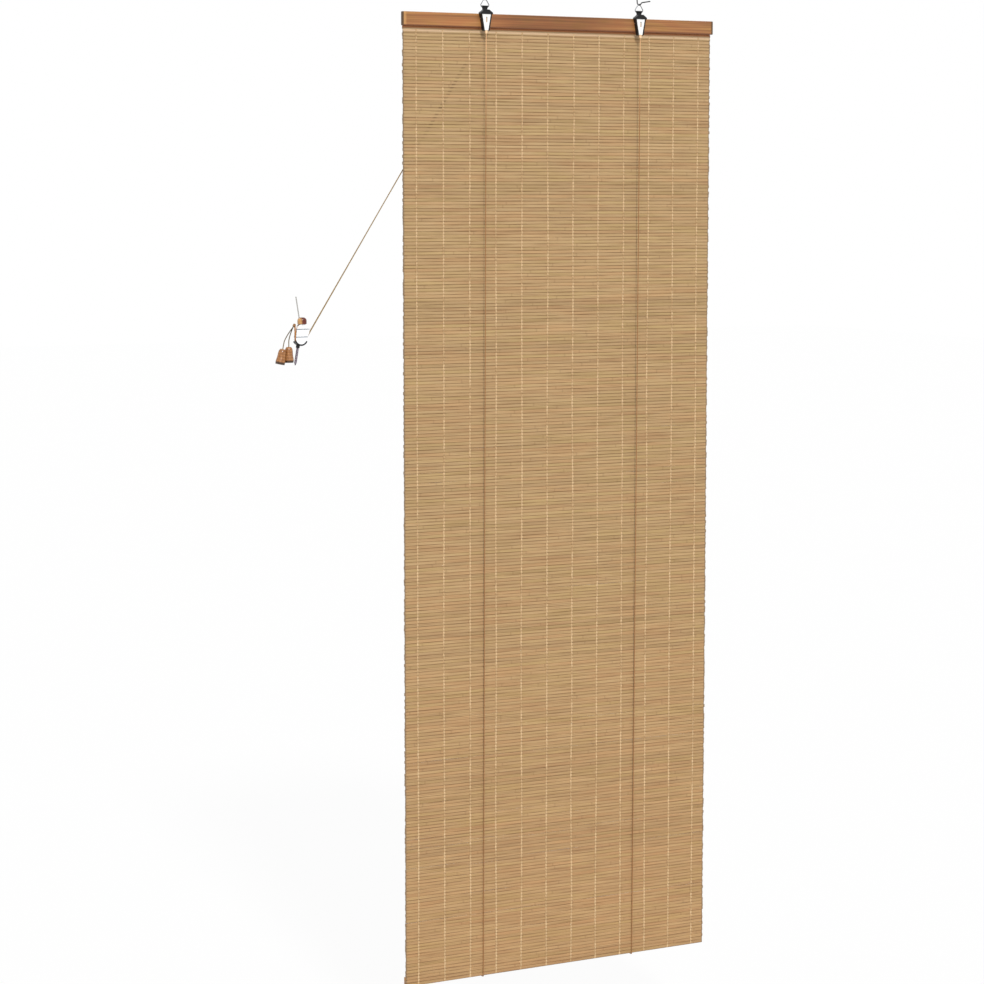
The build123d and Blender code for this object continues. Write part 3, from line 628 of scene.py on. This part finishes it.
def cord_finish(name, dark, middle, light, axis, old, new, other):
    """Three twisted strands with painted shade in their hollows and painted light on their crests, of another
    colour at one end.
    """
    material, shader, link = new_finish(name, 0.8)
    nodes = material.node_tree.nodes
    wound = nodes.new("ShaderNodeUVMap")
    wound.uv_map = "UVMap"
    split = nodes.new("ShaderNodeSeparateXYZ")
    link(wound.outputs["UV"], split.inputs["Vector"])
    turns = product(material, split.outputs["X"], strands)
    turns = sum_of(material, "ADD", turns, product(material, split.outputs["Y"], crests_per_metre))
    strand = sum_of(material, "ADD", ripple(material, turns, 1.0), grain(material, (1500, 1500, 1500), 3.0))
    crest = spread(material, strand, 0.0, 1.0, -0.8, 1.6)
    shade = ramp(material, crest, (0.0, seen(*dark)), (0.45, seen(*middle)), (1.0, seen(*light)))
    at_end = spread(material, along(material, axis), 0.0, 0.8, old, new)
    link(mixed(material, "MIX", at_end, shade, seen(*other)), shader.inputs["Base Color"])
    relief(material, shader, strand, 0.8, 0.0004)
    return material


# Painted light: the lift cords are a lighter peach near the top, where they stand off the mat in the light.
tan_cord = cord_finish(
    "tan_cord", (104, 68, 36), (158, 110, 64), (188, 140, 92), "Z", -0.30, -0.14, (240, 192, 142)
)
left_lift = [
    (-0.1700, 0.0224, -0.0887),
    (-0.1999, 0.0204, -2.2615),
    (-0.2000, 0.0206, -2.2672),
    (-0.2000, 0.0082, -2.2672),
    (-0.2000, 0.0084, -2.2615),
    (-0.2000, -0.0068, -0.0855),
    (-0.2000, -0.0070, -0.0719),
    (-0.2000, 0.0018, -0.0720),
    (-0.2000, 0.0178, -0.0720),
    (-0.2000, 0.0236, -0.0720),
    (-0.1963, 0.0236, -0.0767),
    (-0.1891, 0.0236, -0.0856),
    (-0.1860, 0.0236, -0.0895),
    (-0.1876, 0.0236, -0.0920),
    (-0.1909, 0.0236, -0.0971),
]
right_lift = [
    (0.2300, 0.0224, -0.0887),
    (0.2001, 0.0204, -2.2615),
    (0.2000, 0.0206, -2.2672),
    (0.2000, 0.0082, -2.2672),
    (0.2000, 0.0084, -2.2615),
    (0.2000, -0.0068, -0.0855),
    (0.2000, -0.0070, -0.0719),
    (0.2000, 0.0018, -0.0720),
    (0.2000, 0.0200, -0.0720),
    (0.2000, 0.0260, -0.0720),
    (0.1940, 0.0260, -0.0722),
    (-0.1756, 0.0260, -0.0869),
    (-0.1816, 0.0260, -0.0871),
    (-0.1832, 0.0260, -0.0896),
    (-0.1865, 0.0260, -0.0946),
]
for name, route in (("lift_cord_left", left_lift), ("lift_cord_right", right_lift)):
    piece = laid_cord(name + "_laid", cord_line(name, route), tan_cord)
    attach(piece, "blind")
    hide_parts(name)


# Tie knots: the lift cords' fixed ends, each wound on itself above its eye.
# The turns are the same cord, pulled tight.
points_a_turn = 12
tie_radius, tie_height, tie_turns = 0.0023, 0.0044, 1.25


def wound_knot(name, centre, radius, height, turns, lean=0.0):
    """Turns of cord wound close together round a leaning line."""
    steps = round(points_a_turn * turns)
    middle = radius - cord_radius
    coil = []
    for step in range(steps + 1):
        angle = 2 * math.pi * step / points_a_turn
        rise = (step / steps - 0.5) * (height - 2 * cord_radius)
        offset = Vector((middle * math.cos(angle), middle * math.sin(angle), rise))
        coil.append(Vector(centre) + Matrix.Rotation(lean, 3, "Y") @ offset)
    return laid_cord(name, cord_line(name, coil), tan_cord)


left_tie = wound_knot("tie_knot_left", (-0.170, 0.0224, -0.0865), tie_radius, tie_height, tie_turns)
right_tie = wound_knot("tie_knot_right", (0.230, 0.0224, -0.0865), tie_radius, tie_height, tie_turns)
for piece in (left_tie, right_tie):
    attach(piece, "blind")
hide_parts("tie_knots")


# Cleat: a white moulding with a wide groove for the cords, and on top a steel pin and a turned bead,
# tan at its left and lacquered dark red at its right.
# Below is a black steel yoke with a pointed screw shank for the window frame.
groove_shade_levels, line_half = (-0.7578, -0.7748), (0.0006, 0.0011)
red_from = (-0.6445, -0.6405)
shank_lean, shank_pitch, shank_tip = math.radians(9.6), 0.0026, (-0.9315, -0.9290)

cleat_nylon, shader, link = new_finish("cleat_nylon", 0.45)
mould = grain(cleat_nylon, (260, 260, 260), 5.0)
body = shades(cleat_nylon, mould, (230, 232, 234), (246, 247, 247))
level = along(cleat_nylon, "Z")
# Painted shade: two grey-blue lines darken the moulding's two grooves.
for line_z in groove_shade_levels:
    near = sum_of(cleat_nylon, "ABSOLUTE", sum_of(cleat_nylon, "SUBTRACT", level, line_z))
    body = mixed(cleat_nylon, "MIX", spread(cleat_nylon, near, 1.0, 0.0, *line_half), body, seen(84, 96, 112))
link(body, shader.inputs["Base Color"])
link(spread(cleat_nylon, mould, 0.36, 0.55), shader.inputs["Roughness"])
relief(cleat_nylon, shader, grain(cleat_nylon, (1800, 1800, 1800)), 0.12, 0.0002)
coat(cleat_nylon, "cleat_body")
coat(screw_steel, "cleat_pin")
coat(hook_enamel, "cleat_yoke")

lacquer, shader, link = new_finish("red_lacquer", 0.25)
turning = grain(lacquer, (60, 60, 900), 4.0)
red = shades(lacquer, turning, (62, 18, 10), (112, 40, 22))
tan = shades(lacquer, turning, (170, 120, 66), (214, 168, 108))
at_left = spread(lacquer, along(lacquer, "X"), 1.0, 0.0, *red_from)
link(mixed(lacquer, "MIX", at_left, red, tan), shader.inputs["Base Color"])
link(spread(lacquer, turning, 0.18, 0.34), shader.inputs["Roughness"])
coat(lacquer, "cleat_bead")

shank_steel, shader, link = new_finish("shank_steel", 0.4, 0.85)
down = along(shank_steel, "Z", (0, -shank_lean, 0))
groove = ripple(shank_steel, down, shank_pitch)
oil = grain(shank_steel, (400, 400, 400))
# Painted shade in the thread's grooves and painted light on its ridges.
thread_shading = spread(shank_steel, groove, 0.0, 1.0, -1.0, 1.0)
steel = ramp(shank_steel, thread_shading, (0.0, seen(104, 92, 106)), (1.0, seen(196, 184, 196)))
steel = mixed(shank_steel, "MULTIPLY", 0.5, steel, shades(shank_steel, oil, (190, 185, 190), (255, 255, 255)))
steel = mixed(shank_steel, "MIX", spread(shank_steel, down, 0.9, 0.0, *shank_tip), steel, seen(34, 30, 38))
link(steel, shader.inputs["Base Color"])
relief(shank_steel, shader, groove, 1.0, 0.0006)
coat(shank_steel, "cleat_shank")


# Pull cords: twisted golden-brown cord, with painted light making it tan round the cleat's left, led from the
# cord eye down to the cleat, once round its groove and into a knot of the lift cords' tan.
# The blind's weight keeps them taut; their two ends hang from the knot.
# Painted light: the cord is a lighter tan where it passes round the cleat's left.
olive_cord = cord_finish(
    "olive_cord", (84, 64, 34), (148, 120, 68), (186, 154, 98), "X", -0.6440, -0.6500, (222, 152, 84)
)
left_pull = [
    (-0.1909, 0.0236, -0.0971),
    (-0.1974, 0.0236, -0.1072),
    (-0.6311, 0.0236, -0.7800),
    (-0.6367, 0.0236, -0.7886),
    (-0.6468, 0.0236, -0.7897),
    (-0.6539, 0.0236, -0.7824),
    (-0.6527, 0.0236, -0.7723),
    (-0.6519, 0.0236, -0.7654),
    (-0.6505, 0.0236, -0.7535),
    (-0.6407, 0.0245, -0.7468),
    (-0.6291, 0.0263, -0.7498),
    (-0.6238, 0.0273, -0.7605),
    (-0.6284, 0.0278, -0.7715),
    (-0.6310, 0.0280, -0.7779),
    (-0.6350, 0.0284, -0.7874),
    (-0.6449, 0.0284, -0.7902),
    (-0.6533, 0.0284, -0.7841),
    (-0.6536, 0.0284, -0.7737),
    (-0.6542, 0.0284, -0.7510),
]
right_pull = [
    (-0.1865, 0.0260, -0.0946),
    (-0.1930, 0.0260, -0.1046),
    (-0.6311, 0.0260, -0.7800),
    (-0.6367, 0.0260, -0.7886),
    (-0.6468, 0.0260, -0.7897),
    (-0.6539, 0.0260, -0.7824),
    (-0.6527, 0.0260, -0.7723),
    (-0.6519, 0.0260, -0.7654),
    (-0.6505, 0.0260, -0.7535),
    (-0.6407, 0.0269, -0.7468),
    (-0.6291, 0.0287, -0.7498),
    (-0.6238, 0.0297, -0.7605),
    (-0.6284, 0.0302, -0.7715),
    (-0.6310, 0.0304, -0.7779),
    (-0.6350, 0.0308, -0.7874),
    (-0.6449, 0.0308, -0.7902),
    (-0.6533, 0.0308, -0.7841),
    (-0.6536, 0.0308, -0.7737),
    (-0.6542, 0.0308, -0.7510),
]
cleat_knot = wound_knot("cleat_knot_wound", (-0.6557, 0.02965, -0.7495), 0.0034, 0.0076, 2.8, 0.5)
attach(cleat_knot, "fixings")
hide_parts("cleat_knot")
for name, route, length in (("pull_cord_left", left_pull, 0.9848), ("pull_cord_right", right_pull, 0.9892)):
    line = cord_line(name, route)
    piece = laid_cord(name + "_laid", line, olive_cord)
    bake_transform(piece)
    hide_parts(name)


# Cord ends and knobs: each cord's end hangs from the knot through a turned wooden knob, grey-brown with use.
# A second knot in the knob's hollow foot keeps it on.
left_lean, left_top, right_top = math.radians(12), -0.92524, -0.7965
ring_pitch, foot_band = 0.0062, (0.0282, 0.0302)
foot_radius, foot_height, foot_turns = 0.0030, 0.0054, 1.7


def knob_finish(name, lean, top):
    """Turned wood, ringed across the knob's own axis and darker at its foot."""
    material, shader, link = new_finish(name, 0.3)
    fibre = grain(material, (420, 420, 60), 5.0)
    below = sum_of(material, "SUBTRACT", top, along(material, "Z", (0, -lean, 0)))
    ring = spread(material, ripple(material, below, ring_pitch), 0.0, 1.0, -1.0, 1.0)
    rings = ramp(material, ring, (0.0, seen(190, 170, 150)), (0.8, white))
    body = mixed(material, "MULTIPLY", 0.5, shades(material, fibre, (132, 84, 44), (184, 130, 80)), rings)
    dark_foot = spread(material, below, 0.0, 0.92, *foot_band)
    link(mixed(material, "MIX", dark_foot, body, seen(44, 32, 22)), shader.inputs["Base Color"])
    link(spread(material, fibre, 0.22, 0.38), shader.inputs["Roughness"])
    relief(material, shader, fibre, 0.15, 0.0002)
    return material


coat(knob_finish("turned_wood_left", left_lean, left_top), "cord_knob_left")
coat(knob_finish("turned_wood_right", 0.0, right_top), "cord_knob_right")

tail_cord = cord_finish(
    "tail_cord", (70, 58, 38), (124, 106, 74), (160, 138, 100), "Z", -0.7950, -0.7560, (66, 58, 38)
)
left_tail = [
    (-0.6572, 0.0284, -0.7510),
    (-0.6787, 0.0284, -0.7751),
    (-0.6841, 0.0284, -0.8005),
    (-0.6895, 0.0284, -0.8259),
]
right_tail = [
    (-0.6572, 0.0308, -0.7510),
    (-0.6686, 0.0308, -0.7755),
    (-0.6686, 0.0308, -0.7965),
    (-0.6686, 0.0308, -0.8225),
]
left_foot = wound_knot(
    "knob_knot_left", (-0.69007, 0.0284, -0.82857), foot_radius, foot_height, foot_turns, left_lean
)
right_foot = wound_knot("knob_knot_right", (-0.6686, 0.0308, -0.8252), foot_radius, foot_height, foot_turns)
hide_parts("knob_knots")
for name, route, length, foot, knob in (
    ("cord_tail_left", left_tail, 0.0836, left_foot, "cord_knob_left"),
    ("cord_tail_right", right_tail, 0.0736, right_foot, "cord_knob_right"),
):
    line = cord_line(name, route)
    piece = laid_cord(name + "_laid", line, tail_cord)
    for item in (piece, foot):
        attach(item, "fixings")
    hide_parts(name)


# Studio: a plain white floor, a white surround, one soft key light from the upper left, and the camera at the
# photograph's view. The surround is white to the camera and in reflections, and lights the blind more softly.
floor_size, floor_back, floor_level = 40, 8, -2.45
floor_glow, surround_light = 0.95, 0.5
sun_way, sun_width = (0.20, 1.0, -0.80), math.radians(8)
camera_place, camera_down, camera_right = (-3.086, -5.4537, -0.451), 6.341, 28.035

bpy.ops.object.select_all(action="DESELECT")
bpy.ops.mesh.primitive_plane_add(size=floor_size, location=(0, floor_back, floor_level))
floor = bpy.context.object
floor.name = "studio_floor"
bpy.ops.object.transform_apply(location=True, rotation=True, scale=True)
paper, shader, link = new_finish("studio_paper", 0.9)
nodes = paper.node_tree.nodes
tooth = grain(paper, (2, 2, 2), 2.0)
link(shades(paper, tooth, (243, 243, 243), (247, 247, 247)), shader.inputs["Base Color"])
bright = nodes.new("ShaderNodeEmission")
rays = nodes.new("ShaderNodeLightPath")
both = nodes.new("ShaderNodeMixShader")
link(product(paper, rays.outputs["Is Camera Ray"], floor_glow), both.inputs["Fac"])
link(shader.outputs["BSDF"], both.inputs[1])
link(bright.outputs["Emission"], both.inputs[2])
link(both.outputs["Shader"], nodes["Material Output"].inputs["Surface"])
floor.data.materials.append(paper)

world = bpy.data.worlds.new("studio_world")
bpy.context.scene.world = world
world.use_nodes = True
nodes, link = world.node_tree.nodes, world.node_tree.links.new
rays = nodes.new("ShaderNodeLightPath")
clear = sum_of(world, "MAXIMUM", rays.outputs["Is Camera Ray"], rays.outputs["Is Glossy Ray"])
clear = sum_of(world, "MAXIMUM", clear, rays.outputs["Is Transmission Ray"])
surround = nodes["Background"]
surround.inputs["Color"].default_value = (1, 1, 1, 1)
link(spread(world, clear, surround_light, 1.0, 0.0, 1.0), surround.inputs["Strength"])

key = bpy.data.lights.new("key_light", "SUN")
key.energy = 2.4
key.angle = sun_width
key_light = bpy.data.objects.new("key_light", key)
bpy.context.scene.collection.objects.link(key_light)
key_light.rotation_euler = Vector(sun_way).to_track_quat("-Z", "Y").to_euler()

camera_data = bpy.data.cameras.new("camera")
camera_data.sensor_width = 36
camera_data.lens = 100.09
camera = bpy.data.objects.new("camera", camera_data)
bpy.context.scene.collection.objects.link(camera)
camera.location = camera_place
camera.rotation_euler = (math.radians(90 - camera_down), 0, math.radians(-camera_right))
bpy.context.scene.camera = camera
bpy.context.scene.view_settings.view_transform = "Standard"
